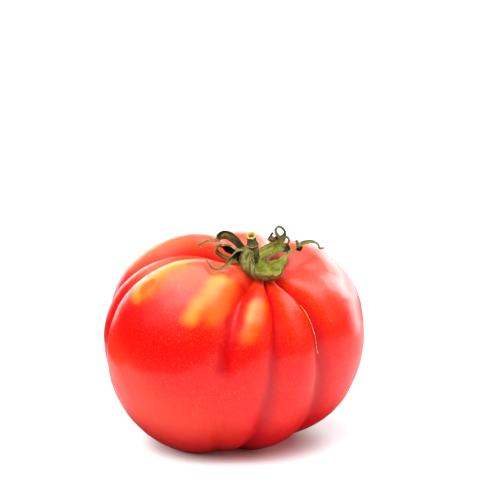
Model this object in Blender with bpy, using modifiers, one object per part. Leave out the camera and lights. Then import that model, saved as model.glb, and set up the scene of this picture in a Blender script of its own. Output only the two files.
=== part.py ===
"""Ribbed beefsteak tomato with its cut flower stalk and six dried sepals.

The fruit rests on a small flat spot at z = 0 and leans a little, as it grew. +X is to the right,
-Y is the front, +Z is up, and the origin is under the middle of the fruit. Units are metres.
"""

import math

import bmesh
import bpy
import numpy as np
from mathutils import Euler, Vector

MM = 0.001

# The fruit: half its width, its heights above and below the widest line, and the pit at its crown.
FRUIT_RADIUS = 46.2 * MM
CROWN_RISE = 50.9 * MM
BASE_DROP = 46.7 * MM
PIT_DEPTH = 15.2 * MM
PIT_RADIUS = 23.9 * MM
LEAN_RIGHT = math.radians(19.2)
LEAN_FORWARD = math.radians(18.9)
FLAT_SPOT_DEPTH = 2.6 * MM

# How far the outline departs from a circle: for 1, 2 and 3 bulges round it, the cosine and sine share.
BULGES = ((0.018, -0.006), (-0.113, -0.049), (0.032, 0.021))
# How the crown and the base rise and drop unevenly: cosine and sine share of each.
CROWN_TILT = (0.031, 0.120)
BASE_TILT = (-0.021, -0.126)

# The creases between the lobes: azimuth in degrees from the front, turn towards the crown, depth near
# the crown, depth near the base, width in degrees, roundness of the crease and mesh columns to the next.
CREASES = (
    (-94.6, -7.0, 0.13, 0.09, 9, 0.12, 4),
    (-76.9, -14.5, 0.13, 0.09, 9, 0.12, 12),
    (0.7, -18.2, 0.17, 0.035, 10, 0.35, 5),
    (24.9, -9.5, 0.09, 0.09, 8, 0.2, 6),
    (55.9, -8.9, 0.1, 0.07, 9, 0.2, 7),
    (102.3, -4.1, 0.02, 0.03, 12, 0.6, 10),
    (165.9, 8.4, 0.07, 0.06, 10, 0.2, 8),
    (216.4, 12.9, 0.07, 0.06, 10, 0.2, 10),
)
CREASE_FADE = 8 * MM
FRUIT_RINGS = 36

# The flower stalk leans back to the left from the pit's floor, and its knuckle is where it snapped.
STALK_FOOT = (-1.8, -1.2, 1.2)
STALK_POINTS = (
    (0.0, 0.0, 0.0, 3.2),
    (0.2, -0.3, 0.9, 2.7),
    (0.0, -0.5, 2.2, 2.25),
    (-0.7, -1.1, 4.8, 2.05),
    (-1.3, -1.9, 7.3, 2.0),
    (-1.6, -2.3, 8.2, 2.2),
    (-1.65, -2.4, 8.7, 2.75),
    (-1.7, -2.5, 9.2, 2.1),
    (-1.9, -2.9, 10.6, 1.9),
    (-2.1, -3.4, 12.4, 1.95),
)
SEPAL_THICKNESS = 0.7 * MM
SEPAL_STEPS = 30
SEPAL_COLUMNS = 4

# Each sepal's midline from its root to its tip, in millimetres from the pit's floor: x, y, z, width,
# the way its inner face looks (x, y, z), and the angle in degrees that its section curls through.
SEPALS = {
    "sepal_back_left": (
        (-3.0, 3.2, 3.2, 3.2, 0.2, -0.6, 0.7, 60),
        (-4.7, 3.7, 4.2, 3.8, 0.1, -0.7, 0.7, 90),
        (-7.5, 4.6, 6.2, 3.9, 0.1, -0.7, 0.7, 150),
        (-10.6, 5.8, 8.3, 5.8, 0.2, -0.4, 0.9, 205),
        (-13.4, 6.6, 9.6, 6.4, 0.4, 0.0, 0.9, 220),
        (-15.2, 6.4, 9.3, 4.0, 0.5, 0.1, 0.9, 180),
        (-16.8, 5.8, 8.9, 1.5, 0.2, -0.4, 0.9, 90),
        (-19.4, 5.3, 9.0, 1.2, 0.0, -0.3, 1.0, 60),
        (-22.4, 4.4, 8.1, 1.1, 0.6, -0.4, 0.6, 40),
        (-22.9, 4.0, 7.2, 1.0, 1.0, 0.0, 0.1, 40),
        (-22.1, 3.2, 6.5, 0.8, 0.6, 0.0, 0.8, 30),
    ),
    "sepal_left": (
        (-5.2, -0.3, 2.4, 3.8, 0.0, -0.2, 1.0, 60),
        (-8.0, 0.2, 2.2, 3.8, 0.0, -0.3, 1.0, 90),
        (-10.6, 0.2, 2.7, 3.6, 0.1, -0.3, 1.0, 90),
        (-13.0, 0.3, 3.6, 3.0, 0.3, -0.3, 0.9, 80),
        (-15.2, 0.4, 4.8, 2.8, 0.8, -0.3, 0.6, 70),
        (-16.8, 0.6, 6.6, 2.8, 1.0, -0.2, 0.0, 70),
        (-16.0, 1.0, 8.4, 3.0, 0.6, -0.3, -0.7, 80),
        (-14.0, 1.2, 8.7, 4.4, 0.1, -0.5, -0.9, 110),
        (-11.6, 1.2, 8.0, 5.8, -0.2, -0.8, -0.6, 150),
        (-9.2, 0.8, 7.1, 5.6, -0.2, -0.7, -0.7, 150),
        (-7.2, 0.4, 6.8, 3.0, -0.3, -0.3, -0.9, 110),
        (-6.0, 0.2, 5.9, 1.6, -0.3, -0.2, -0.9, 90),
    ),
    "sepal_front_left": (
        (-7.0, -2.3, 3.6, 3.0, -0.3, -0.8, 0.4, 60),
        (-7.9, -2.9, 5.4, 4.2, -0.1, -1.0, 0.1, 150),
        (-8.8, -3.9, 6.9, 5.2, 0.3, -1.0, -0.1, 200),
        (-10.0, -5.1, 7.0, 5.0, 0.5, -0.8, -0.2, 205),
        (-10.9, -6.4, 5.8, 3.2, 0.7, -0.6, 0.2, 190),
        (-11.6, -7.8, 4.7, 1.7, 0.6, -0.4, 0.7, 160),
        (-12.8, -9.5, 3.9, 1.3, 0.5, -0.2, 0.9, 130),
        (-15.1, -12.9, 3.6, 1.35, 0.3, 0.0, 1.0, 80),
        (-17.9, -13.3, 4.3, 1.25, 0.4, 0.1, 0.9, 70),
        (-19.3, -10.8, 5.5, 1.1, 0.6, 0.0, 0.8, 60),
        (-19.9, -9.2, 6.1, 0.7, 0.6, 0.0, 0.8, 40),
    ),
    "sepal_front": (
        (-4.6, -7.0, 8.4, 3.4, 0.2, 1.0, 0.1, 60),
        (-4.9, -7.2, 7.0, 4.0, 0.2, 1.0, 0.1, 60),
        (-5.2, -7.9, 4.6, 4.6, 0.3, 0.9, 0.1, 60),
        (-4.8, -8.8, 2.2, 5.4, 0.4, 0.7, 0.4, 70),
        (-2.7, -9.6, -0.2, 7.4, 0.4, 0.2, 0.9, 90),
        (0.8, -8.6, -0.8, 8.8, 0.0, -0.3, 1.0, 110),
        (4.2, -6.6, 0.0, 9.0, -0.2, -0.3, 0.9, 110),
        (7.2, -3.2, 2.2, 6.0, -0.4, -0.4, 0.8, 130),
        (8.9, -0.9, 4.6, 2.4, -0.4, -0.5, 0.8, 120),
        (10.5, 1.2, 6.1, 1.4, -0.3, -0.4, 0.9, 90),
        (12.4, 3.5, 6.8, 1.5, -0.2, -0.5, 0.9, 80),
        (14.1, 5.2, 7.2, 1.9, 0.0, -0.6, 0.8, 120),
        (16.5, 7.5, 7.6, 2.6, 0.0, -0.5, 0.9, 80),
        (18.8, 9.4, 7.4, 1.7, 0.2, -0.5, 0.9, 80),
        (20.9, 11.0, 6.1, 1.1, 0.7, -0.3, 0.6, 60),
        (21.9, 11.9, 4.2, 1.0, 0.8, -0.3, 0.5, 40),
        (23.8, 12.4, 4.3, 0.8, 0.1, -0.3, 1.0, 30),
    ),
    "sepal_right": (
        (-0.4, 3.4, 3.9, 3.4, -0.1, -0.7, 0.7, 30),
        (2.7, 4.3, 5.3, 4.2, -0.2, -0.7, 0.7, 40),
        (6.0, 4.9, 6.3, 4.2, -0.1, -0.6, 0.8, 40),
        (8.4, 4.8, 6.2, 3.8, 0.5, -0.5, 0.7, 40),
        (9.5, 4.3, 4.9, 3.2, 1.0, -0.2, -0.1, 40),
        (8.0, 3.6, 3.6, 3.0, 0.2, 0.1, -1.0, 40),
        (4.9, 3.2, 3.1, 2.8, 0.0, 0.1, -1.0, 40),
        (2.3, 2.8, 2.8, 2.0, 0.0, 0.1, -1.0, 40),
    ),
    "sepal_back_right": (
        (0.5, 8.0, 4.4, 3.2, -0.2, -0.6, 0.8, 40),
        (3.6, 9.0, 5.6, 3.4, -0.3, -0.6, 0.8, 60),
        (6.6, 9.6, 7.2, 3.8, -0.5, -0.6, 0.6, 90),
        (8.5, 9.6, 8.8, 3.4, -0.8, -0.5, 0.3, 100),
        (8.9, 9.3, 10.8, 2.0, -0.9, -0.3, 0.0, 90),
        (7.9, 8.9, 12.6, 1.3, -0.7, -0.3, -0.6, 60),
        (6.4, 8.4, 13.6, 2.0, 0.0, -0.4, -0.9, 60),
        (5.3, 7.8, 12.9, 1.9, 0.9, -0.3, -0.2, 60),
        (5.2, 7.3, 11.8, 1.3, 0.9, -0.3, 0.1, 60),
        (5.7, 6.8, 10.2, 2.8, 0.5, -0.4, 0.8, 120),
        (5.3, 6.4, 8.9, 6.8, 0.0, -0.1, 1.0, 180),
        (3.6, 6.2, 8.5, 8.6, 0.1, -0.1, 1.0, 190),
        (2.2, 6.2, 9.4, 6.4, 0.7, -0.1, 0.7, 200),
    ),
}

for startup_object in list(bpy.data.objects):
    bpy.data.objects.remove(startup_object, do_unlink=True)

collection = bpy.data.collections.new("tomato")
bpy.context.scene.collection.children.link(collection)


def material(name, colour, roughness):
    made = bpy.data.materials.new(name)
    made.use_nodes = True
    surface = made.node_tree.nodes["Principled BSDF"]
    surface.inputs["Base Color"].default_value = (*colour, 1.0)
    surface.inputs["Roughness"].default_value = roughness
    surface.inputs["Metallic"].default_value = 0.0
    return made


def add_object(name, data, surface, parent=None):
    made = bpy.data.objects.new(name, data)
    data.materials.append(surface)
    collection.objects.link(made)
    made.parent = parent
    return made


# ---- Fruit: one lobed berry, pressed flat where it rests ----


def wave(share, azimuth, times=1):
    return share[0] * math.cos(times * azimuth) + share[1] * math.sin(times * azimuth)


def crease_azimuth(crease, polar):
    return math.radians(crease[0] + crease[1] * math.cos(polar))


def column_azimuth(column, polar):
    """The mesh columns follow the creases, so that a column of points runs down each one."""
    azimuths = [crease_azimuth(crease, polar) for crease in CREASES]
    azimuths.append(azimuths[0] + 2 * math.pi)
    columns = np.cumsum([0] + [crease[6] for crease in CREASES])
    return float(np.interp(column, columns, azimuths))


def lobe_factor(polar, azimuth, reach):
    """The share of the full radius that is left once the creases are pressed in."""
    lift = (1 + math.cos(polar)) / 2
    pressed = 0.0
    for crease in CREASES:
        _, _, crown_depth, base_depth, width, roundness, _ = crease
        away = azimuth - crease_azimuth(crease, polar)
        away = (away + math.pi) % (2 * math.pi) - math.pi
        away = away / math.radians(width)
        closeness = math.exp(roundness - math.hypot(away, roundness))
        pressed += (crown_depth * lift + base_depth * (1 - lift)) * closeness
    return 1 - pressed * (1 - math.exp(-((reach / CREASE_FADE) ** 2)))


def fruit_point(polar, azimuth):
    """The skin at an angle from the crown and an azimuth from the front, before the lean."""
    outline = sum(wave(share, azimuth, i + 1) for i, share in enumerate(BULGES))
    reach = FRUIT_RADIUS * (1 + outline * math.sin(polar)) * math.sin(polar)
    if math.cos(polar) > 0:
        height = CROWN_RISE * (1 + wave(CROWN_TILT, azimuth) * math.sin(polar)) * math.cos(polar)
        height -= PIT_DEPTH * math.exp(-((reach / PIT_RADIUS) ** 2))
    else:
        height = BASE_DROP * (1 + wave(BASE_TILT, azimuth) * math.sin(polar)) * math.cos(polar)
    point = Vector((reach * math.sin(azimuth), -reach * math.cos(azimuth), height))
    return point * lobe_factor(polar, azimuth, reach)


lean = Euler((0, LEAN_RIGHT, 0)).to_matrix() @ Euler((LEAN_FORWARD, 0, 0)).to_matrix()
column_count = sum(crease[6] for crease in CREASES)

berry = bmesh.new()
bmesh.ops.create_uvsphere(berry, u_segments=column_count, v_segments=FRUIT_RINGS, radius=1)
for vertex in berry.verts:
    polar = math.acos(max(-1.0, min(1.0, vertex.co.z)))
    turn = math.atan2(vertex.co.x, -vertex.co.y) % (2 * math.pi)
    column = turn / (2 * math.pi) * column_count
    vertex.co = lean @ fruit_point(polar, column_azimuth(column, polar))

lowest = min(vertex.co.z for vertex in berry.verts)
bmesh.ops.bisect_plane(
    berry,
    geom=berry.verts[:] + berry.edges[:] + berry.faces[:],
    plane_co=(0, 0, lowest + FLAT_SPOT_DEPTH),
    plane_no=(0, 0, -1),
    clear_outer=True,
)
bmesh.ops.holes_fill(berry, edges=[edge for edge in berry.edges if edge.is_boundary])
sides = [[vertex.co[axis] for vertex in berry.verts] for axis in (0, 1)]
centre = [(min(side) + max(side)) / 2 for side in sides]
to_origin = Vector((-centre[0], -centre[1], -(lowest + FLAT_SPOT_DEPTH)))
bmesh.ops.translate(berry, verts=berry.verts[:], vec=to_origin)
bmesh.ops.recalc_face_normals(berry, faces=berry.faces[:])

berry_mesh = bpy.data.meshes.new("fruit")
berry.to_mesh(berry_mesh)
berry.free()
berry_mesh.shade_smooth()
add_object("fruit", berry_mesh, material("tomato skin", (0.72, 0.035, 0.015), 0.25))

# ---- Calyx: an empty on the pit's floor carries the stalk and the sepals ----

calyx = bpy.data.objects.new("calyx", None)
calyx.location = lean @ fruit_point(0, 0) + to_origin
collection.objects.link(calyx)

# ---- Stem: the cut stalk, its knuckle, and the foot that it sits on ----

stalk = bpy.data.curves.new("stem", "CURVE")
stalk.dimensions = "3D"
stalk.bevel_depth = MM
stalk.bevel_resolution = 3
stalk.use_fill_caps = True
stalk.resolution_u = 2
line = stalk.splines.new("NURBS")
line.points.add(len(STALK_POINTS) - 1)
for point, (x, y, z, radius) in zip(line.points, STALK_POINTS):
    foot_x, foot_y, foot_z = STALK_FOOT
    point.co = ((x + foot_x) * MM, (y + foot_y) * MM, (z + foot_z) * MM, 1)
    point.radius = radius
line.use_endpoint_u = True
line.order_u = 3
add_object("stem", stalk, material("stalk green", (0.10, 0.13, 0.03), 0.6), calyx)

# ---- Sepals: six dried ribbons that curl up from the foot of the stalk ----


def through(stations, share):
    """A smooth curve through the stations, at a share of the way from the first to the last."""
    place = share * (len(stations) - 1)
    first = min(int(place), len(stations) - 2)
    t = place - first
    before, start, end, after = (
        stations[max(0, min(len(stations) - 1, first + step))] for step in (-1, 0, 1, 2)
    )
    bend = 2 * before - 5 * start + 4 * end - after
    return start + 0.5 * t * (end - before + t * (bend + t * (3 * (start - end) + after - before)))


def sepal_point(stations, along, across):
    """A point of the ribbon: along runs from 0 at the root to 1 at the tip, across from -1 to 1."""
    here = through(stations, along)
    step = 0.01
    ahead = through(stations, min(1.0, along + step))
    behind = through(stations, max(0.0, along - step))
    forward = Vector(ahead[:3] - behind[:3]).normalized()
    inner = Vector(here[4:7])
    inner = (inner - forward * inner.dot(forward)).normalized()
    sideways = forward.cross(inner)
    half_curl = math.radians(here[7]) / 2
    radius = here[3] / (2 * half_curl)
    angle = across * half_curl
    offset = sideways * radius * math.sin(angle) + inner * radius * (1 - math.cos(angle))
    return (Vector(here[:3]) + offset) * MM


def add_sepal(name, stations, surface):
    ribbon = bmesh.new()
    bmesh.ops.create_grid(ribbon, x_segments=SEPAL_STEPS, y_segments=SEPAL_COLUMNS, size=1)
    for vertex in ribbon.verts:
        vertex.co = sepal_point(stations, (vertex.co.x + 1) / 2, vertex.co.y)
    mesh = bpy.data.meshes.new(name)
    ribbon.to_mesh(mesh)
    ribbon.free()
    mesh.shade_smooth()
    made = add_object(name, mesh, surface, calyx)
    shell = made.modifiers.new("thickness", "SOLIDIFY")
    shell.thickness = SEPAL_THICKNESS
    shell.offset = 0


sepal_surface = material("sepal green", (0.14, 0.16, 0.045), 0.65)
for sepal_name, sepal_stations in SEPALS.items():
    add_sepal(sepal_name, [np.array(station) for station in sepal_stations], sepal_surface)
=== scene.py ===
import math
import random
from collections import namedtuple

import bmesh
import bpy
from mathutils import Euler, Matrix, Vector, noise


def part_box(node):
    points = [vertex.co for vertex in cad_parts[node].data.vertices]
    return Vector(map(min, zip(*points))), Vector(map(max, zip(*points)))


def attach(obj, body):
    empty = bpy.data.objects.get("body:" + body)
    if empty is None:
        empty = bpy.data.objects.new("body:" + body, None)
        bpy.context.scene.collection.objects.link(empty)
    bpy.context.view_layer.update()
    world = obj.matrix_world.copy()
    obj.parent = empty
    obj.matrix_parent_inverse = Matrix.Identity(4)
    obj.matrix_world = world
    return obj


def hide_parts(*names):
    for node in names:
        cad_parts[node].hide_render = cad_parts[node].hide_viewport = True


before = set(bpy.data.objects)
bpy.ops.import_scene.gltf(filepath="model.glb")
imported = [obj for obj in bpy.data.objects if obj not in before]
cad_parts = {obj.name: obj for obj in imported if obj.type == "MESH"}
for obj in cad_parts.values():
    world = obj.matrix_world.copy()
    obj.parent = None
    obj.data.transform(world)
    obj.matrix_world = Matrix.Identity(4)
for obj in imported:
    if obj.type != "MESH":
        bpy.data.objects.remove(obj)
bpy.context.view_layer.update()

# ---- Berry ----
# The fruit is one fleshy berry under a thin glossy skin. It swelled faster between its eight creases than
# along them, so it grew in lobes round the pit of its stalk. One formula shapes a sphere into it, and it
# leans forward and to the right on the flat spot that it rests on.

MM = 0.001
BERRY_RADIUS = 46.2 * MM
CROWN_RISE = 50.9 * MM
BASE_DROP = 46.7 * MM
PIT_DEPTH = 15.2 * MM
PIT_RADIUS = 23.9 * MM
CREASE_FADE = 8 * MM
BULGES = ((0.018, -0.006), (-0.113, -0.049), (0.032, 0.021))
CROWN_TILT = (0.031, 0.120)
BASE_TILT = (-0.021, -0.126)
LEAN = Euler((0, math.radians(19.2), 0)).to_matrix() @ Euler((math.radians(18.9), 0, 0)).to_matrix()

# A crease's azimuth from the front, its turn towards the crown and its width are in degrees, and its
# depths are shares of the way to the middle. The mesh has this many columns up to the next crease.
Crease = namedtuple("Crease", "azimuth turn crown_depth base_depth width roundness columns")
LEFT_CREASE = Crease(-94.6, -7.0, 0.13, 0.09, 9, 0.12, 20)
SECOND_LEFT_CREASE = Crease(-76.9, -14.5, 0.13, 0.09, 9, 0.12, 60)
SOFT_FRONT_CREASE = Crease(0.7, -18.2, 0.17, 0.035, 10, 0.35, 25)
SHARP_FRONT_CREASE = Crease(24.9, -9.5, 0.09, 0.09, 8, 0.2, 30)
SCARRED_CREASE = Crease(55.9, -8.9, 0.1, 0.07, 9, 0.2, 35)
RIGHT_CREASE = Crease(102.3, -4.1, 0.02, 0.03, 12, 0.6, 50)
BACK_CREASE = Crease(165.9, 8.4, 0.07, 0.06, 10, 0.3, 40)
BACK_LEFT_CREASE = Crease(216.4, 12.9, 0.07, 0.06, 10, 0.3, 50)
CREASES = (
    LEFT_CREASE, SECOND_LEFT_CREASE, SOFT_FRONT_CREASE, SHARP_FRONT_CREASE,
    SCARRED_CREASE, RIGHT_CREASE, BACK_CREASE, BACK_LEFT_CREASE,
)
BERRY_COLUMNS = sum(crease.columns for crease in CREASES)
BERRY_RINGS = 180
UNEVENNESS = 0.16 * MM
FOLD_DEPTH, FOLD_WIDTH = 0.016, math.radians(1.3)
SOFT_ROUNDNESS = 0.3  # a crease as round as this has no fold and no darker bottom


def wave(share, azimuth, times=1):
    return share[0] * math.cos(times * azimuth) + share[1] * math.sin(times * azimuth)


def direction(polar, azimuth):
    """A unit vector at an angle from straight up and an azimuth from the front, both in radians."""
    return Vector(
        (math.sin(polar) * math.sin(azimuth), -math.sin(polar) * math.cos(azimuth), math.cos(polar))
    )


def crease_azimuth(crease, polar):
    return math.radians(crease.azimuth + crease.turn * math.cos(polar))


def column_azimuth(column, polar):
    """The mesh columns run along the creases, so that the bottom of each one stays crisp."""
    start = 0
    for crease, after in zip(CREASES, CREASES[1:] + CREASES[:1]):
        if column <= start + crease.columns:
            break
        start += crease.columns
    here = crease_azimuth(crease, polar)
    ahead = crease_azimuth(after, polar) + (2 * math.pi if after is LEFT_CREASE else 0)
    return here + (ahead - here) * (column - start) / crease.columns


def crease_closeness(crease, polar, azimuth):
    """1 at the bottom of a crease, falling to 0 beside it, and the same for its fine fold."""
    away = azimuth - crease_azimuth(crease, polar)
    away = (away + math.pi) % (2 * math.pi) - math.pi
    fold = math.exp(-abs(away) / FOLD_WIDTH) * (crease.roundness < SOFT_ROUNDNESS)
    across = away / math.radians(crease.width)
    return math.exp(crease.roundness - math.hypot(across, crease.roundness)), fold


def skin_point(polar, azimuth):
    """A point of the skin before the lean, and how near it is to a crease and to the fold in it.

    The pit's dip fades out above the waist, so that the upper and lower halves meet there.
    """
    outline = sum(wave(share, azimuth, times) for times, share in enumerate(BULGES, 1))
    reach = BERRY_RADIUS * (1 + outline * math.sin(polar)) * math.sin(polar)
    if math.cos(polar) > 0:
        height = CROWN_RISE * (1 + wave(CROWN_TILT, azimuth) * math.sin(polar)) * math.cos(polar)
        above_waist = 1 - (1 - math.cos(polar)) ** 4
        height -= PIT_DEPTH * above_waist * math.exp(-((reach / PIT_RADIUS) ** 2))
    else:
        height = BASE_DROP * (1 + wave(BASE_TILT, azimuth) * math.sin(polar)) * math.cos(polar)
    lift = (1 + math.cos(polar)) / 2
    pressed, nearest, nearest_fold = 0, 0, 0
    for crease in CREASES:
        depth = crease.crown_depth * lift + crease.base_depth * (1 - lift)
        closeness, fold = crease_closeness(crease, polar, azimuth)
        pressed += depth * closeness + FOLD_DEPTH * fold * lift ** 3
        nearest = max(nearest, closeness * (crease.roundness < SOFT_ROUNDNESS))
        nearest_fold = max(nearest_fold, fold * lift ** 2)
    fade = 1 - math.exp(-((reach / CREASE_FADE) ** 2))
    point = Vector((reach * math.sin(azimuth), -reach * math.cos(azimuth), height))
    return point * (1 - pressed * fade), nearest * fade, nearest_fold * fade


berry = bmesh.new()
bmesh.ops.create_uvsphere(berry, u_segments=BERRY_COLUMNS, v_segments=BERRY_RINGS, radius=1)
growth_layer = berry.verts.layers.float_vector.new("growth")
crease_layer = berry.verts.layers.float.new("crease")
fold_layer = berry.verts.layers.float.new("fold")
for vertex in berry.verts:
    polar = math.acos(max(-1.0, min(1.0, vertex.co.z)))
    turn = math.atan2(vertex.co.x, -vertex.co.y) % (2 * math.pi)
    azimuth = column_azimuth(turn / (2 * math.pi) * BERRY_COLUMNS, polar)
    point, vertex[crease_layer], vertex[fold_layer] = skin_point(polar, azimuth)
    outward = direction(polar, azimuth)
    uneven = noise.noise(outward * 6) + 0.5 * noise.noise(outward * 14) + 0.2 * noise.noise(outward * 30)
    vertex.co = LEAN @ (point + outward * UNEVENNESS * uneven)
    vertex[growth_layer] = outward

box_low, box_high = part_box("fruit")
middle = [(min(side) + max(side)) / 2 for side in zip(*(vertex.co for vertex in berry.verts))]
TO_PLACE = Vector((
    (box_low.x + box_high.x) / 2 - middle[0],
    (box_low.y + box_high.y) / 2 - middle[1],
    box_high.z - max(vertex.co.z for vertex in berry.verts),
))
bmesh.ops.translate(berry, verts=berry.verts[:], vec=TO_PLACE)
bmesh.ops.bisect_plane(
    berry, geom=berry.verts[:] + berry.edges[:] + berry.faces[:],
    plane_co=(0, 0, box_low.z), plane_no=(0, 0, -1), clear_outer=True,
)
bmesh.ops.holes_fill(berry, edges=[edge for edge in berry.edges if edge.is_boundary])
bmesh.ops.recalc_face_normals(berry, faces=berry.faces[:])


def add_piece(name, shape):
    """Makes a finished shape a smooth piece of the scene."""
    mesh = bpy.data.meshes.new(name)
    shape.to_mesh(mesh)
    shape.free()
    mesh.shade_smooth()
    piece = bpy.data.objects.new(name, mesh)
    bpy.context.scene.collection.objects.link(piece)
    return piece


berry_piece = add_piece("berry", berry)


class Wire:
    """A value on its way through a material: Python's own operators add the Math nodes."""

    def __init__(self, finish, socket):
        self.finish, self.socket = finish, socket

    def math(self, operation, first, second=0.0, clamp=False):
        return self.finish.node(
            "ShaderNodeMath", {"operation": operation, "use_clamp": clamp}, {0: first, 1: second}
        )

    def __add__(self, other):
        return self.math("ADD", self, other)

    __radd__ = __add__

    def __sub__(self, other):
        return self.math("SUBTRACT", self, other)

    def __rsub__(self, other):
        return self.math("SUBTRACT", other, self)

    def __mul__(self, other):
        return self.math("MULTIPLY", self, other)

    __rmul__ = __mul__

    def clamped(self):
        return self.math("ADD", self, 0.0, clamp=True)


class Finish:
    """A material whose nodes are all added in one way: a type, its settings, then its sockets."""

    def __init__(self, name):
        self.material = bpy.data.materials.new(name)
        self.material.use_nodes = True
        self.surface = self.material.node_tree.nodes["Principled BSDF"]

    def node(self, kind, settings, sockets, output=0):
        made = self.material.node_tree.nodes.new(kind)
        for setting, value in settings.items():
            setattr(made, setting, value)
        for socket, value in sockets.items():
            self.feed(made.inputs[socket], value)
        return Wire(self, made.outputs[output])

    def feed(self, socket, value):
        if isinstance(value, Wire):
            self.material.node_tree.links.new(value.socket, socket)
        elif isinstance(value, tuple) and len(value) == 3 and socket.type == "RGBA":
            socket.default_value = (*value, 1)
        else:
            socket.default_value = value

    def place(self):
        return self.node("ShaderNodeTexCoord", {}, {}, "Object")

    def attribute(self, name, output="Fac"):
        return self.node("ShaderNodeAttribute", {"attribute_name": name}, {}, output)

    def cloud(self, vector, scale, detail=2.0, roughness=0.5):
        """Soft noise between 0 and 1, at a number of lumps to the metre of the vector."""
        return self.node(
            "ShaderNodeTexNoise", {},
            {"Vector": vector, "Scale": scale, "Detail": detail, "Roughness": roughness},
        )

    def step(self, value, start, end):
        """0 before start, 1 past end and smooth between them; start may be the larger."""
        return self.node(
            "ShaderNodeMapRange", {"interpolation_type": "SMOOTHSTEP"},
            {"Value": value, "From Min": start, "From Max": end},
        )

    def blend(self, mask, under, over):
        return self.node(
            "ShaderNodeMix", {"data_type": "RGBA"}, {0: mask, 6: under, 7: over}, 2
        )

    def set(self, **values):
        for name, value in values.items():
            self.feed(self.surface.inputs[name.replace("_", " ")], value)


# The skin ripened red from the base up. The shoulders of the two big front lobes stayed yellow and
# orange, and the whole skin holds fine golden specks.
skin = Finish("ripe skin")
growth = skin.attribute("growth", "Vector")
in_crease = skin.attribute("crease")
in_fold = skin.attribute("fold")
on_berry = skin.place()


def streak(start, end, inner, outer, ragged=0.03, grain=9):
    """1 near the line between two places on the skin (polar and azimuth in degrees), 0 further off."""
    start, end = (direction(*map(math.radians, place)) for place in (start, end))
    along = end - start
    offset = skin.node("ShaderNodeVectorMath", {"operation": "SUBTRACT"}, {0: growth, 1: tuple(start)})
    share = skin.node(
        "ShaderNodeVectorMath", {"operation": "DOT_PRODUCT"},
        {0: offset, 1: tuple(along / along.length_squared)}, 1,
    ).clamped()
    nearest = skin.node("ShaderNodeVectorMath", {"operation": "SCALE"}, {0: tuple(along), 3: share})
    distance = skin.node("ShaderNodeVectorMath", {"operation": "DISTANCE"}, {0: offset, 1: nearest}, 1)
    wander = (skin.cloud(growth, grain, 3.0) - 0.5) * (2 * ragged)
    return skin.step(distance + wander, outer, inner)


mottle = skin.cloud(growth, 2.2, 3.0)
fine_mottle = skin.cloud(on_berry, 900, 2.0)
ripeness = skin.step(mottle, 0.38, 0.66)
colour = skin.blend(ripeness, (0.84, 0.0015, 0.001), (0.87, 0.006, 0.001))
lower_left = streak((108, -45), (128, -10), 0.3, 0.75, 0.1, 5)
colour = skin.blend(lower_left * 0.9, colour, (0.88, 0.024, 0.002))
# Partly painted sheen: the upper sides of the back-left lobes are painted a pale salmon over their own
# orange tone.
upper_left_tone_and_sheen = streak((26, -85), (56, -112), 0.28, 0.56, 0.06, 6) + streak((30, -140), (40, 170), 0.25, 0.5)
colour = skin.blend(upper_left_tone_and_sheen.clamped() * 0.85, colour, (0.93, 0.19, 0.075))
deep = streak((70, -64), (80, -28), 0.1, 0.32, 0.05, 5)
colour = skin.blend(deep * 0.9, colour, (0.84, 0.0006, 0.0004))
crown = skin.node("ShaderNodeVectorMath", {"operation": "DOT_PRODUCT"}, {0: growth, 1: (0, 0, 1)}, 1)
colour = skin.blend(skin.step(crown, 0.45, 0.85) * 0.7, colour, (0.91, 0.04, 0.006))
orange = streak((40, -74), (58, -67), 0.06, 0.2) * 0.8
orange = orange + streak((26, -32), (47, -25), 0.02, 0.15, 0.04)
orange = orange + streak((33, 2), (50, 0), 0.02, 0.13) * 0.9
colour = skin.blend(orange.clamped() * 0.95, colour, (0.93, 0.115, 0.001))
yellow = streak((40, -75), (62, -67), 0.02, 0.12, 0.04, 12)
yellow = yellow + streak((27, -42), (54, -34), 0.0, 0.105, 0.03, 10)
yellow = yellow + streak((33, -3), (42, -2), 0.0, 0.07) * 0.6
colour = skin.blend(yellow.clamped() * 0.85, colour, (0.94, 0.29, 0.02))
colour = skin.blend(streak((55, -67), (59, -66), 0.03, 0.06, 0.03, 20), colour, (0.93, 0.11, 0.0))

# Golden specks of two sizes: their spacing, their size as a share of it, how many there are, and tint.
for spacing, size, share, tint in ((0.8 * MM, 0.21, 0.72, 0.36), (2.1 * MM, 0.08, 0.7, 0.65)):
    cells = (
        "ShaderNodeTexVoronoi", {"feature": "F1"},
        {"Vector": on_berry, "Scale": 1 / spacing, "Randomness": 1.0},
    )
    dot = skin.step(skin.node(*cells, "Distance"), size * 1.5, size * 0.6)
    dot = dot * skin.step(skin.node(*cells, "Color"), 1 - share, 1.1 - share)
    colour = skin.blend(dot * tint, colour, (0.97, 0.24, 0.06))

# Painted shade: a deeper, darker red in the wide valley between the two front lobes, on the underside
# towards the table, and down in the creases and along their folds.
valley = streak((20, -17), (46, -11), 0.03, 0.12, 0.02)
valley = (valley + streak((46, -11), (70, -6), 0.03, 0.12, 0.02)).clamped()
colour = skin.blend(valley * 0.75, colour, (0.53, 0.0008, 0.005))
# Painted shade on the underside, darker towards the table.
height = skin.node("ShaderNodeSeparateXYZ", {}, {"Vector": on_berry}, 2)
colour = skin.blend(skin.step(height, 24 * MM, 3 * MM) * 0.85, colour, (0.42, 0.0008, 0.010))
# Painted shade down in the sharp creases, darker still along their folds.
colour = skin.blend(skin.step(in_crease, 0.4, 1.0) * 0.75, colour, (0.56, 0.001, 0.008))
colour = skin.blend(skin.step(in_fold, 0.15, 0.8) * 0.6, colour, (0.40, 0.002, 0.006))

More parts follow.
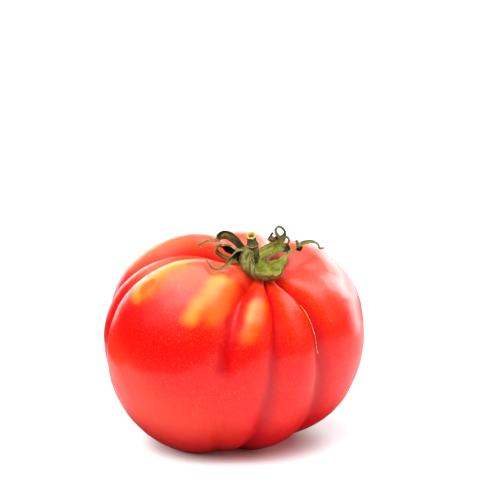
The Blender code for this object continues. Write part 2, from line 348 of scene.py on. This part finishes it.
ripples = skin.cloud(on_berry, 170, 2.0)
relief = skin.node("ShaderNodeBump", {}, {"Strength": 0.05, "Distance": 0.4 * MM, "Height": ripples})
skin.set(
    Base_Color=colour,
    Roughness=0.35 + (fine_mottle - 0.5) * 0.06,
    Specular_IOR_Level=0.32,
    Subsurface_Weight=0.12, Subsurface_Radius=(1.0, 0.25, 0.12), Subsurface_Scale=3 * MM,
    Coat_Weight=0.15, Coat_Roughness=0.12,
    Normal=relief,
)
# Down in the creases by the crown, and half so in the valley, the skin is dull and keeps no shine.
dull = skin.node(
    "ShaderNodeBsdfPrincipled", {},
    {"Base Color": colour, "Roughness": 0.85, "Specular IOR Level": 0.0, "Normal": relief},
)
shaded = (skin.step(in_crease, 0.15, 0.5) * skin.step(crown, 0.5, 0.8) + valley * 0.5).clamped()
shiny = Wire(skin, skin.surface.outputs[0])
mixed = skin.node("ShaderNodeMixShader", {}, {0: shaded, 1: shiny, 2: dull})
skin.feed(skin.material.node_tree.nodes["Material Output"].inputs["Surface"], mixed)
berry_piece.data.materials.append(skin.material)
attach(berry_piece, "root")
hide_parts("fruit")

# ---- Corky scar ----
# Where the crease to the right of the middle split and healed as the fruit swelled, dry cork closed
# it. What is left is a broken line of tan crusts along the bottom of the crease.

SCAR_START, SCAR_END = 33, 61  # degrees from the crown
SCAR_CRUSTS = 30
chance = random.Random(4)


def on_skin(polar, azimuth):
    return LEAN @ skin_point(polar, azimuth)[0] + TO_PLACE


scar = bmesh.new()
for crust in range(SCAR_CRUSTS):
    share = (crust + chance.random() * 0.8) / SCAR_CRUSTS
    polar = math.radians(SCAR_START + (SCAR_END - SCAR_START) * share)
    azimuth = crease_azimuth(SCARRED_CREASE, polar) - math.radians(chance.uniform(0.1, 1.5))
    here, ahead = on_skin(polar, azimuth), on_skin(polar + 0.01, azimuth)
    aside = on_skin(polar, azimuth + 0.01)
    along = (ahead - here).normalized()
    outward = along.cross(aside - here).normalized()
    seat = Matrix((along, outward.cross(along), outward)).transposed().to_4x4()
    seat.translation = here
    length, width, height = chance.uniform(0.3, 0.8), chance.uniform(0.1, 0.2), chance.uniform(0.1, 0.2)
    size = Matrix.Diagonal((length, width, height, 1))
    made = bmesh.ops.create_icosphere(scar, subdivisions=2, radius=MM, matrix=seat @ size)
    for vertex in made["verts"]:
        vertex.co += (vertex.co - here) * 0.45 * noise.noise(vertex.co * 3000)
bmesh.ops.recalc_face_normals(scar, faces=scar.faces[:])
scar_piece = add_piece("corky_scar", scar)

cork = Finish("dry cork")
cork_grain = cork.cloud(cork.place(), 2500, 3.0)
cork.set(
    Base_Color=cork.blend(cork.step(cork_grain, 0.35, 0.65), (0.62, 0.27, 0.12), (0.86, 0.52, 0.28)),
    Roughness=0.75 + cork_grain * 0.15,
    Normal=cork.node("ShaderNodeBump", {}, {"Strength": 0.5, "Distance": 0.1 * MM, "Height": cork_grain}),
)
scar_piece.data.materials.append(cork.material)
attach(scar_piece, "root")

# ---- Stalk ----
# The flower stalk stands on a swollen green foot in the pit and leans back to the left. It snapped at
# its knuckle and was cut above it: the cut end is a pale torn ring round a hollow pith.

CALYX = LEAN @ skin_point(0, 0)[0] + TO_PLACE
STALK_FOOT = Vector((-1.8, -1.2, 1.2))
# Along the middle of the stalk, in millimetres from its foot: x, y, z and radius.
STALK = [Vector(point) for point in (
    (-0.5, 0.6, -0.9, 3.6),
    (-0.6, 0.4, 0.0, 2.6),
    (-0.7, 0.0, 0.9, 2.05),
    (-0.75, -0.4, 2.2, 1.9),
    (-0.85, -0.8, 3.6, 1.85),
    (-0.95, -1.1, 4.8, 1.8),
    (-1.15, -1.6, 6.2, 1.85),
    (-1.4, -2.1, 7.6, 2.0),
    (-1.6, -2.3, 8.3, 2.15),
    (-1.7, -2.5, 9.0, 2.15),
    (-1.8, -2.7, 9.7, 1.8),
    (-1.9, -2.9, 10.6, 1.65),
    (-2.0, -3.2, 11.5, 1.7),
    (-2.1, -3.4, 12.4, 1.85),
)]
STALK_RINGS = 150
STALK_SPOKES = 56
# Shares of the sphere's way up: the cut's rim and the pith's edge. The knuckle is a share of the stalk.
RIM_AT, PITH_AT = 0.84, 0.9
KNUCKLE_AT = 0.69
PITH_DEPTH = 1.3


def through(stations, share):
    """A smooth curve through the stations, at a share of the way from the first to the last."""
    place = share * (len(stations) - 1)
    first = min(int(place), len(stations) - 2)
    t = place - first
    before, start, end, after = (
        stations[max(0, min(len(stations) - 1, first + step))] for step in (-1, 0, 1, 2)
    )
    bend = 2 * before - 5 * start + 4 * end - after
    return start + 0.5 * t * (end - before + t * (bend + t * (3 * (start - end) + after - before)))


def stalk_ring(share):
    """Middle, axis and radius of the stalk, in millimetres from its foot."""
    here = through(STALK, share)
    axis = Vector((through(STALK, min(1, share + 0.02)) - through(STALK, max(0, share - 0.02)))[:3])
    return Vector(here[:3]), axis.normalized(), here[3]


stalk = bmesh.new()
bmesh.ops.create_uvsphere(stalk, u_segments=STALK_SPOKES, v_segments=STALK_RINGS, radius=1)
stalk_grain = stalk.verts.layers.float_vector.new("grain")
stalk_torn = stalk.verts.layers.float.new("torn")
stalk_pith = stalk.verts.layers.float.new("pith")
for vertex in stalk.verts:
    share = 1 - math.acos(max(-1.0, min(1.0, vertex.co.z))) / math.pi
    turn = math.atan2(vertex.co.y, vertex.co.x)
    around = Vector((math.cos(turn), math.sin(turn), 0))
    if share < RIM_AT:
        up, inside = share / RIM_AT, 0.0
        middle, axis, radius = stalk_ring(up)
        radius *= min(1.0, (share * 40) ** 0.5)
        snap = KNUCKLE_AT + 0.025 * noise.noise(around * 1.3)
        torn = math.exp(-(((up - snap) / 0.013) ** 2)) * (0.6 + 1.2 * noise.noise(around * 4.2))
        radius += 0.42 * max(0.0, torn)
        torn = max(torn, 1.3 * max(0.0, up - 0.95) / 0.05 - 0.6)
        ridges = math.cos(7 * turn + 3 * up) + 0.7 * math.cos(12 * turn - 5 * up)
        radius *= 1 + 0.028 * ridges + 0.05 * noise.noise(around * 3 + Vector((0, 0, up * 12)))
    else:
        up, torn = 1.0, 1.0
        inside = min(1.0, (share - RIM_AT) / (PITH_AT - RIM_AT))
        middle, axis, radius = stalk_ring(1)
        fall = max(0.0, (share - PITH_AT) / (1 - PITH_AT))
        middle = middle - axis * PITH_DEPTH * min(1, fall * 1.6)
        radius *= 1 - 0.42 * inside if fall == 0 else 0.58 * (1 - max(0, fall - 0.4) / 0.6)
        middle = middle + axis * 0.35 * math.sin(math.pi * min(1, inside)) * (fall == 0)
        torn = 1.0 if fall < 0.35 else 0.3
    ragged = max(0.0, up - 0.93) / 0.07
    lift = ragged * (0.32 * noise.noise(around * 2.5) + 0.5 * around.y * (inside < 1 or 0.6))
    right = (Vector((1, 0, 0)) - axis * axis.x).normalized()
    forward = axis.cross(right)
    spot = middle + (right * around.x + forward * around.y) * radius + axis * lift
    vertex.co = CALYX + (STALK_FOOT + spot) * MM
    vertex[stalk_grain] = around * 2.5 + Vector((0, 0, spot.z * 0.35))
    vertex[stalk_torn] = max(0.0, min(1.0, torn))
    vertex[stalk_pith] = 1.0 if share > PITH_AT + 0.3 * (1 - PITH_AT) else 0.0
bmesh.ops.recalc_face_normals(stalk, faces=stalk.faces[:])
stalk_piece = add_piece("stalk", stalk)

bark = Finish("stalk skin")
bark_grain = bark.attribute("grain", "Vector")
fibres = bark.cloud(bark_grain, 3.2, 4.0, 0.65)
blotches = bark.cloud(bark.place(), 420, 3.0)
bark_colour = bark.blend(bark.step(fibres, 0.35, 0.65), (0.028, 0.030, 0.008), (0.14, 0.13, 0.040))
bark_colour = bark.blend(bark.step(blotches, 0.55, 0.72) * 0.6, bark_colour, (0.30, 0.27, 0.12))
bark_colour = bark.blend(
    bark.attribute("torn") * bark.step(blotches, 0.25, 0.5), bark_colour,
    bark.blend(bark.step(fibres, 0.3, 0.6), (0.30, 0.17, 0.05), (0.80, 0.52, 0.14)),
)
bark_colour = bark.blend(bark.attribute("pith"), bark_colour, (0.10, 0.13, 0.01))
bark.set(
    Base_Color=bark_colour,
    Roughness=0.6 + fibres * 0.25, Specular_IOR_Level=0.15,
    Normal=bark.node(
        "ShaderNodeBump", {}, {"Strength": 0.6, "Distance": 0.15 * MM, "Height": fibres + blotches * 0.5}
    ),
)
stalk_piece.data.materials.append(bark.material)
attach(stalk_piece, "root")
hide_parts("stem")

# ---- Sepals ----
# Six leaf-like sepals grew from the stalk's foot. Dried, each curled its own way into a thin ridged
# ribbon: sage and olive outside, painted near-black shade in its curled hollows, tan at the tips, still
# green in the front scoop.

SEPAL_RINGS = 150
SEPAL_SPOKES = 36
PATCH_EDGE = 0.06
# Each station along a sepal's middle: x, y, z and width in millimetres from the pit's floor, the way
# its inner face looks (x, y, z), and the angle in degrees that it curls through.
BACK_LEFT_SEPAL = (
    (-3.0, 3.2, 3.2, 3.2, 0.2, -0.6, 0.7, 60),
    (-4.7, 3.7, 4.2, 3.8, 0.1, -0.7, 0.7, 90),
    (-7.5, 4.6, 6.2, 3.9, 0.1, -0.7, 0.7, 150),
    (-10.6, 5.8, 8.3, 6.0, 0.3, -0.3, 0.9, 200),
    (-13.2, 6.6, 9.4, 7.4, 0.6, 0.0, 0.8, 215),
    (-15.2, 6.4, 9.2, 5.0, 0.7, 0.1, 0.7, 190),
    (-16.8, 5.8, 8.9, 1.5, 0.2, -0.4, 0.9, 90),
    (-19.4, 5.3, 9.0, 1.2, 0.0, -0.3, 1.0, 60),
    (-22.4, 4.4, 8.1, 1.1, 0.6, -0.4, 0.6, 40),
    (-22.9, 4.0, 7.2, 1.0, 1.0, 0.0, 0.1, 40),
    (-22.1, 3.2, 6.5, 0.8, 0.6, 0.0, 0.8, 30),
)
LEFT_SEPAL = (
    (-5.2, -0.3, 2.4, 3.8, 0.0, -0.2, 1.0, 60),
    (-8.0, 0.2, 2.2, 3.8, 0.0, -0.3, 1.0, 90),
    (-10.6, 0.2, 2.7, 3.6, 0.1, -0.3, 1.0, 90),
    (-13.0, 0.3, 3.6, 3.0, 0.3, -0.3, 0.9, 80),
    (-15.2, 0.4, 4.8, 2.8, 0.8, -0.3, 0.6, 70),
    (-16.8, 0.6, 6.6, 2.8, 1.0, -0.2, 0.0, 70),
    (-16.0, 1.0, 8.4, 3.0, 0.6, -0.3, -0.7, 80),
    (-14.0, 1.2, 8.7, 4.4, 0.1, -0.5, -0.9, 110),
    (-11.6, 1.2, 8.0, 5.8, -0.2, -0.8, -0.6, 150),
    (-9.2, 0.8, 7.1, 5.6, -0.2, -0.7, -0.7, 150),
    (-7.2, 0.4, 6.8, 3.0, -0.3, -0.3, -0.9, 110),
    (-6.0, 0.2, 5.9, 1.6, -0.3, -0.2, -0.9, 90),
)
FRONT_LEFT_SEPAL = (
    (-7.0, -2.3, 3.6, 3.0, -0.3, -0.8, 0.4, 60),
    (-7.9, -2.9, 5.4, 4.2, -0.1, -1.0, 0.1, 150),
    (-8.8, -3.9, 6.9, 5.2, 0.3, -1.0, -0.1, 200),
    (-10.0, -5.1, 7.0, 5.0, 0.5, -0.8, -0.2, 205),
    (-10.9, -6.4, 5.8, 3.2, 0.7, -0.6, 0.2, 190),
    (-11.6, -7.8, 4.7, 1.7, 0.6, -0.4, 0.7, 160),
    (-12.8, -9.5, 3.9, 1.3, 0.5, -0.2, 0.9, 130),
    (-15.1, -12.9, 3.6, 1.35, 0.3, 0.0, 1.0, 80),
    (-17.9, -13.3, 4.3, 1.25, 0.4, 0.1, 0.9, 70),
    (-19.3, -10.8, 5.5, 1.1, 0.6, 0.0, 0.8, 60),
    (-19.9, -9.2, 6.1, 0.7, 0.6, 0.0, 0.8, 40),
)
FRONT_SEPAL = (
    (-4.2, -4.6, 9.4, 3.6, 0.1, 1.0, 0.1, 70),
    (-5.0, -5.4, 7.6, 4.8, 0.2, 1.0, 0.1, 70),
    (-5.8, -6.6, 4.9, 6.2, 0.3, 0.9, 0.1, 70),
    (-5.2, -8.0, 1.8, 7.4, 0.4, 0.7, 0.4, 80),
    (-2.9, -8.6, -1.0, 10.5, 0.4, 0.2, 0.9, 115),
    (0.5, -6.9, -1.9, 16.5, 0.0, -0.3, 1.0, 160),
    (4.2, -5.0, -1.0, 16.0, -0.2, -0.4, 0.9, 160),
    (7.3, -3.0, 1.7, 8.6, -0.4, -0.4, 0.8, 160),
    (8.9, -0.9, 4.6, 2.4, -0.4, -0.5, 0.8, 150),
    (10.5, 1.2, 6.1, 1.4, -0.3, -0.4, 0.9, 90),
    (12.4, 3.5, 6.8, 1.5, -0.2, -0.5, 0.9, 80),
    (14.1, 5.2, 7.2, 1.9, 0.0, -0.6, 0.8, 120),
    (16.5, 7.5, 7.6, 2.6, 0.0, -0.5, 0.9, 80),
    (18.8, 9.4, 7.4, 1.7, 0.2, -0.5, 0.9, 80),
    (20.9, 11.0, 6.1, 1.1, 0.7, -0.3, 0.6, 60),
    (21.9, 11.9, 4.2, 1.0, 0.8, -0.3, 0.5, 40),
    (23.8, 12.4, 4.3, 0.8, 0.1, -0.3, 1.0, 30),
)
RIGHT_SEPAL = (
    (-3.0, 2.6, 3.0, 3.0, -0.1, -0.7, 0.7, 30),
    (0.0, 3.5, 4.2, 3.8, -0.1, -0.7, 0.7, 30),
    (2.9, 4.3, 5.4, 4.4, -0.2, -0.7, 0.7, 40),
    (6.0, 4.9, 6.4, 4.6, -0.1, -0.6, 0.8, 40),
    (8.6, 4.8, 6.2, 4.4, 0.5, -0.5, 0.7, 40),
    (9.8, 4.3, 4.7, 4.0, 1.0, -0.2, -0.1, 40),
    (8.2, 3.6, 3.0, 4.2, 0.2, -0.3, -1.0, 40),
    (4.9, 3.0, 2.0, 4.6, 0.0, -0.4, -1.0, 40),
    (2.3, 2.4, 1.4, 4.0, 0.0, -0.4, -1.0, 40),
)
BACK_RIGHT_SEPAL = (
    (0.5, 8.0, 4.4, 3.2, -0.2, -0.6, 0.8, 40),
    (3.6, 9.0, 5.6, 3.4, -0.3, -0.6, 0.8, 60),
    (6.6, 9.6, 7.2, 3.8, -0.5, -0.6, 0.6, 90),
    (8.5, 9.6, 8.8, 3.4, -0.8, -0.5, 0.3, 100),
    (8.9, 9.3, 10.8, 2.0, -0.9, -0.3, 0.0, 90),
    (7.9, 8.9, 12.6, 1.3, -0.7, -0.3, -0.6, 60),
    (6.4, 8.4, 13.6, 2.0, 0.0, -0.4, -0.9, 60),
    (5.3, 7.8, 12.9, 1.9, 0.9, -0.3, -0.2, 60),
    (5.2, 7.3, 11.8, 1.3, 0.9, -0.3, 0.1, 60),
    (5.7, 6.8, 10.2, 2.8, 0.5, -0.4, 0.8, 120),
    (5.3, 6.4, 8.9, 6.8, 0.0, -0.1, 1.0, 180),
    (3.6, 6.2, 8.5, 8.6, 0.1, -0.1, 1.0, 190),
    (2.2, 6.2, 9.4, 6.4, 0.7, -0.1, 0.7, 200),
)
# A tooth stands up from the narrow part of the front sepal, with a crumpled lump below it, and a
# thread hangs from the back right one.
FRONT_TOOTH = (
    (12.9, 4.2, 6.6, 1.6, 0.3, -0.9, 0.2, 120),
    (13.1, 4.2, 7.8, 1.0, 0.3, -0.9, 0.2, 160),
    (12.9, 4.1, 8.8, 1.2, 0.2, -0.9, 0.3, 180),
    (12.4, 4.0, 9.4, 1.5, 0.2, -0.7, 0.7, 180),
)
FRONT_LUMP = (
    (12.6, 3.9, 6.6, 1.4, 0.2, -0.9, 0.3, 150),
    (13.6, 4.5, 6.0, 2.2, 0.1, -0.9, 0.3, 200),
    (14.3, 5.1, 6.5, 2.0, 0.0, -0.9, 0.4, 210),
    (14.5, 5.6, 7.3, 1.0, 0.0, -0.8, 0.6, 150),
)
BACK_THREAD = (
    (8.9, 9.3, 9.4, 0.9, -0.5, -0.8, 0.2, 60),
    (9.9, 9.3, 8.9, 0.8, -0.2, -1.0, 0.0, 60),
    (10.3, 9.2, 7.7, 0.7, 0.2, -1.0, 0.0, 60),
    (9.6, 9.0, 6.6, 0.8, 0.5, -0.8, 0.0, 60),
    (8.9, 9.0, 6.3, 0.6, 0.5, -0.8, 0.3, 60),
)
# A short root joins each of four sepals to the stalk's foot.
BACK_LEFT_ROOT = (
    (-2.4, -0.3, 1.0, 2.4, 0.1, -0.6, 0.8, 40),
    (-2.7, 1.4, 2.0, 2.8, 0.2, -0.6, 0.7, 50),
    (-3.0, 3.3, 3.2, 3.1, 0.2, -0.6, 0.7, 60),
    (-3.8, 3.5, 3.7, 2.6, 0.2, -0.6, 0.7, 70),
)
LEFT_ROOT = (
    (-3.0, -0.8, 1.2, 2.4, 0.0, -0.2, 1.0, 40),
    (-4.0, -0.6, 1.8, 3.0, 0.0, -0.2, 1.0, 50),
    (-5.2, -0.4, 2.4, 3.5, 0.0, -0.2, 1.0, 60),
    (-6.3, -0.1, 2.4, 3.0, 0.0, -0.2, 1.0, 60),
)
FRONT_LEFT_ROOT = (
    (-3.2, -1.6, 1.4, 2.2, -0.3, -0.6, 0.8, 40),
    (-5.0, -2.0, 2.4, 2.6, -0.3, -0.7, 0.6, 50),
    (-7.0, -2.4, 3.6, 2.8, -0.3, -0.8, 0.4, 60),
    (-7.4, -2.6, 4.4, 2.4, -0.3, -0.8, 0.4, 80),
)
BACK_RIGHT_ROOT = (
    (-1.8, 0.4, 1.0, 2.4, 0.0, -0.5, 0.9, 40),
    (-1.0, 2.9, 2.1, 2.8, -0.1, -0.5, 0.9, 40),
    (-0.2, 5.6, 3.2, 3.0, -0.2, -0.6, 0.8, 40),
    (0.6, 8.1, 4.4, 3.1, -0.2, -0.6, 0.8, 40),
    (1.8, 8.5, 4.8, 2.6, -0.2, -0.6, 0.8, 50),
)

dried = Finish("dried sepal")
leaf_grain = dried.attribute("grain", "Vector")
veins = dried.cloud(leaf_grain, 1.0, 4.0, 0.65)
leaf_blotches = dried.cloud(dried.place(), 380, 4.0, 0.6)
leaf_pores = dried.cloud(dried.place(), 2600, 3.0)
leaf_colour = dried.blend(dried.step(veins, 0.36, 0.62), (0.032, 0.033, 0.006), (0.23, 0.205, 0.052))
leaf_colour = dried.blend(dried.step(leaf_blotches, 0.52, 0.7) * 0.7, leaf_colour, (0.38, 0.33, 0.12))
fresh_mottle = dried.step(leaf_blotches * 0.6 + leaf_pores * 0.4, 0.35, 0.65)
fresh_colour = dried.blend(fresh_mottle, (0.11, 0.13, 0.006), (0.36, 0.35, 0.045))
leaf_colour = dried.blend(dried.attribute("fresh") * 0.85, leaf_colour, fresh_colour)
leaf_colour = dried.blend(
    dried.attribute("dry") * dried.step(leaf_blotches, 0.25, 0.55), leaf_colour, (0.24, 0.13, 0.045)
)
# Painted shade: near-black inside the curled hollows of the inner faces.
leaf_colour = dried.blend(dried.attribute("hollow_shade"), leaf_colour, (0.018, 0.012, 0.005))
dried.set(
    Base_Color=leaf_colour,
    Roughness=0.65 + veins * 0.25, Specular_IOR_Level=0.15,
    Normal=dried.node(
        "ShaderNodeBump", {},
        {"Strength": 0.7, "Distance": 0.12 * MM, "Height": veins + leaf_pores * 0.5},
    ),
)


def patch(along, start, end, strength):
    """strength from start to end along a sepal, easing to 0 within a short way at both ends."""
    return strength * max(0.0, min(1.0, (along - start) / PATCH_EDGE, (end - along) / PATCH_EDGE))


def grow_sepal(seed, name, node, stations, hollow_shade, fresh, dry_from, ribs, rib_height):
    """One closed, thin leaf that follows its stations; its edges wander and its ribs run lengthwise."""
    stations = [Vector(station) for station in stations]
    leaf = bmesh.new()
    bmesh.ops.create_uvsphere(leaf, u_segments=SEPAL_SPOKES, v_segments=SEPAL_RINGS, radius=1)
    layers = [leaf.verts.layers.float.new(layer) for layer in ("hollow_shade", "fresh", "dry")]
    grain = leaf.verts.layers.float_vector.new("grain")
    length = sum((Vector(b[:3]) - Vector(a[:3])).length for a, b in zip(stations, stations[1:]))
    apart = Vector((0, 0, seed * 7.3))
    for vertex in leaf.verts:
        polar = math.acos(max(-1.0, min(1.0, vertex.co.z)))
        spin = math.atan2(vertex.co.y, vertex.co.x)
        along = polar / math.pi
        ends = min(1.0, math.sin(polar) * 9) ** 0.5
        here = through(stations, along)
        ahead, behind = through(stations, min(1.0, along + 0.01)), through(stations, max(0.0, along - 0.01))
        forward = Vector((ahead - behind)[:3]).normalized()
        width = here[3]
        inner = Vector(here[4:7])
        inner = (inner - forward * inner.dot(forward)).normalized()
        sideways = forward.cross(inner)
        edge = 1 + 0.16 * noise.noise(Vector((along * length * 0.45, math.cos(spin) * 1.5, 0)) + apart)
        across = math.cos(spin) * ends * edge
        half_curl = math.radians(here[7]) / 2
        radius = width / (2 * half_curl)
        angle = across * half_curl
        offset = sideways * radius * math.sin(angle) + inner * radius * (1 - math.cos(angle))
        outward = sideways * math.sin(angle) - inner * math.cos(angle)
        flutter = noise.noise(Vector((along * length * 0.3, across * 0.8, 3)) + apart) * across ** 2
        rib = rib_height * math.cos(ribs * math.pi * across) * min(1.0, width / 2.5)
        wrinkle = 0.12 * noise.noise(Vector((along * length * 0.8, across * 2.5, 5)) + apart)
        thick = (0.12 + 0.2 * min(1.5, 1.2 / width)) * math.sin(spin) * ends
        raised = 0.35 * flutter * min(1, width / 3) + rib + wrinkle - thick
        spot = Vector(here[:3]) + offset + outward * raised
        vertex.co = CALYX + spot * MM
        facing = math.sin(spin) > 0
        fold = noise.noise(Vector((along * length * 0.25, across * 1.5, 9)) + apart)
        # The painted shade of the curled hollow, on the inner face only.
        vertex[layers[0]] = max(0.0, min(1.0, patch(along, *hollow_shade) * facing * (1.0 + 0.8 * fold)))
        vertex[layers[1]] = max(0.0, min(1.0, patch(along, *fresh) * facing * (1.0 + 0.4 * fold)))
        vertex[layers[2]] = max(0.0, min(1.0, (along - dry_from) * 4 + fold * 0.5))
        vertex[grain] = Vector((across * width * 1.1, along * length * 0.22, 0)) + apart
    bmesh.ops.recalc_face_normals(leaf, faces=leaf.faces[:])
    if leaf.calc_volume(signed=True) < 0:
        bmesh.ops.reverse_faces(leaf, faces=leaf.faces[:])
    piece = add_piece(name, leaf)
    piece.data.materials.append(dried.material)
    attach(piece, "root")
    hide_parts(node)


# Each piece: its name, the node that it stands for, its stations, the painted shade of its curled hollow
# and the green patch on its inner face (from, to and strength), where its tip begins to dry, and its
# ribs' number and height in mm.
NO_PATCH = (0, 1, 0)
for seed, leaf_facts in enumerate((
    ("back_left_leaf", "sepal_back_left", BACK_LEFT_SEPAL, (0.16, 0.56, 1.3), NO_PATCH, 0.55, 2, 0.07),
    ("left_leaf", "sepal_left", LEFT_SEPAL, (0.6, 1.0, 1.4), (0, 0.3, 0.4), 0.9, 3, 0.12),
    ("front_left_leaf", "sepal_front_left", FRONT_LEFT_SEPAL, (0.04, 0.42, 1.5), NO_PATCH, 0.75, 2, 0.08),
    ("front_leaf", "sepal_front", FRONT_SEPAL, (-0.1, 0.2, 0.9), (0.2, 0.56, 1.0), 0.8, 4, 0.1),
    ("right_leaf", "sepal_right", RIGHT_SEPAL, (0.47, 0.9, 1.3), (-0.1, 0.47, 0.8), 1.1, 4, 0.3),
    (
        "back_right_leaf", "sepal_back_right", BACK_RIGHT_SEPAL,
        (0.74, 1.1, 0.8), (-0.1, 0.3, 0.6), 0.6, 3, 0.16,
    ),
    ("front_leaf_tooth", "sepal_front", FRONT_TOOTH, NO_PATCH, NO_PATCH, 0.0, 1, 0.0),
    ("front_leaf_lump", "sepal_front", FRONT_LUMP, (-0.1, 1.1, 1.0), NO_PATCH, 0.9, 2, 0.1),
    ("back_right_thread", "sepal_back_right", BACK_THREAD, NO_PATCH, NO_PATCH, 0.3, 1, 0.0),
    ("back_left_root", "sepal_back_left", BACK_LEFT_ROOT, NO_PATCH, NO_PATCH, 1.1, 2, 0.07),
    ("left_root", "sepal_left", LEFT_ROOT, NO_PATCH, NO_PATCH, 1.1, 3, 0.12),
    ("front_left_root", "sepal_front_left", FRONT_LEFT_ROOT, NO_PATCH, NO_PATCH, 1.1, 2, 0.08),
    ("back_right_root", "sepal_back_right", BACK_RIGHT_ROOT, NO_PATCH, NO_PATCH, 1.1, 3, 0.16),
), 1):
    grow_sepal(seed, *leaf_facts)

# ---- Studio ----
# The fruit stands on a pale table with white all round it. Broad softboxes light it from overhead, the
# left and the right, and dimmer panels and a bright window behind it to the right shine on its skin.

ROOM_WHITE, ROOM_LIGHT = 1.2, 0.04  # what the camera sees round the fruit, and what lights the fruit
CENTRE = Vector((0, 0, 0.04))


def table(name, radius, aside, drop, near, far, glow, start):
    """A round table top, whose colour turns from near to far and whose painted glow sets in past a start
    radius.

    The red light on it round the fruit reaches further to the left and right than to the front.
    """
    top = bmesh.new()
    bmesh.ops.create_circle(top, cap_ends=True, segments=96, radius=radius)
    bmesh.ops.translate(top, verts=top.verts[:], vec=(aside, 0, -drop))
    piece = add_piece(name, top)
    white = Finish(name)
    squashed = white.node(
        "ShaderNodeVectorMath", {"operation": "MULTIPLY"}, {0: white.place(), 1: (0.65, 1, 1)}
    )
    away = white.node("ShaderNodeVectorMath", {"operation": "LENGTH"}, {0: squashed}, 1)
    outer = white.step(away, start, start * 2)
    white.set(
        Base_Color=white.blend(outer, near, far), Roughness=0.8, Specular_IOR_Level=0.0,
        Emission_Color=white.blend(outer * glow, (0, 0, 0), (1, 1, 1)), Emission_Strength=1.0,
    )
    piece.data.materials.append(white.material)
    return piece


# The camera sees the upper top, and the fruit sees and gets its light from the duller one below it.
# Painted light: round the fruit this top is painted red for the light the fruit throws on it, and past a
# radius it glows white, which lightens the shadow there.
seen_table = table(
    "table_top", 0.4, 0, 0.02 * MM, (0.98, 0.42, 0.42), (0.87, 0.93, 0.95), 0.37, 13 * MM
)
seen_table.visible_diffuse = seen_table.visible_glossy = seen_table.visible_shadow = False
# Painted shade and light: round the fruit this board is a dark red painted shadow that the underside sees,
# and further out it glows and lights the fruit from below.
lighting_table = table(
    "table_board", 0.17, 0.04, 0.1 * MM, (0.3, 0.08, 0.08), (0.58, 0.58, 0.58), 0.4, 24 * MM
)
lighting_table.visible_camera = False


def soft_light(name, azimuth, elevation, distance, width, height, radiance, spread=True, gloss=True):
    """A softbox that faces the fruit from an azimuth (0 is the front, 90 the right) and an elevation.

    Without spread it only shines on the skin, and without gloss it only lights it.
    """
    light = bpy.data.lights.new(name, "AREA")
    light.shape = "RECTANGLE"
    light.size, light.size_y = width, height
    light.energy = radiance * math.pi * width * height
    lamp = bpy.data.objects.new(name, light)
    away = direction(math.radians(90 - elevation), math.radians(azimuth))
    lamp.location = CENTRE + away * distance
    lamp.rotation_euler = away.to_track_quat("Z", "Y").to_euler()
    lamp.visible_camera = False
    lamp.visible_diffuse, lamp.visible_glossy = spread, gloss
    bpy.context.scene.collection.objects.link(lamp)


soft_light("overhead softbox", 0, 88, 0.75, 1.1, 1.1, 2.2)
soft_light("left key", -50, 44, 0.9, 0.8, 0.8, 4.9, gloss=False)
soft_light("right fill", 60, 24, 1.0, 0.8, 0.8, 3.4, gloss=False)
soft_light("overhead sheen", -10, 80, 0.7, 1.3, 1.1, 2.6, spread=False)
soft_light("left front sheen", -75, 52, 0.8, 0.7, 0.4, 1.5, spread=False)
soft_light("left back sheen", -160, 22, 0.9, 0.7, 0.5, 1.8, spread=False)
soft_light("right back window", 138, 28, 0.8, 0.45, 0.4, 6.5, spread=False)
soft_light("right back strip", 130, 2, 0.8, 0.25, 0.5, 5.0, spread=False)
soft_light("back wall", 180, 10, 1.2, 2.6, 0.9, 3.0, spread=False)

world = bpy.data.worlds.new("white room")
world.use_nodes = True
bpy.context.scene.world = world
room = world.node_tree
to_camera = room.nodes.new("ShaderNodeLightPath")
brightness = room.nodes.new("ShaderNodeMapRange")
brightness.inputs["To Min"].default_value = ROOM_LIGHT
brightness.inputs["To Max"].default_value = ROOM_WHITE
room.links.new(to_camera.outputs["Is Camera Ray"], brightness.inputs["Value"])
room.links.new(brightness.outputs["Result"], room.nodes["Background"].inputs["Strength"])
room.nodes["Background"].inputs["Color"].default_value = (1, 1, 1, 1)
bpy.context.scene.view_settings.view_transform = "Standard"
bpy.context.scene.view_settings.look = "None"

# ---- Camera ----
# A long lens, half a metre away and 20 degrees above the table. It is turned a little down and aside, so
# that the fruit stands low and a touch to the left in the view.

CAMERA_DISTANCE = 0.5065
CAMERA_HEIGHT = math.radians(20)
VIEW_CENTRE = TO_PLACE + Vector((1.1, 0, -1.5)) * MM
camera_data = bpy.data.cameras.new("camera")
camera_data.lens, camera_data.sensor_width = 100, 36
camera = bpy.data.objects.new("camera", camera_data)
camera.location = VIEW_CENTRE + direction(math.radians(90) - CAMERA_HEIGHT, 0) * CAMERA_DISTANCE
turn_aside = Matrix.Rotation(math.radians(-0.26), 3, "Z")
turn_down = Matrix.Rotation(math.radians(94.46) - CAMERA_HEIGHT, 3, "X")
camera.rotation_euler = (turn_aside @ turn_down).to_euler()
bpy.context.scene.collection.objects.link(camera)
bpy.context.scene.camera = camera
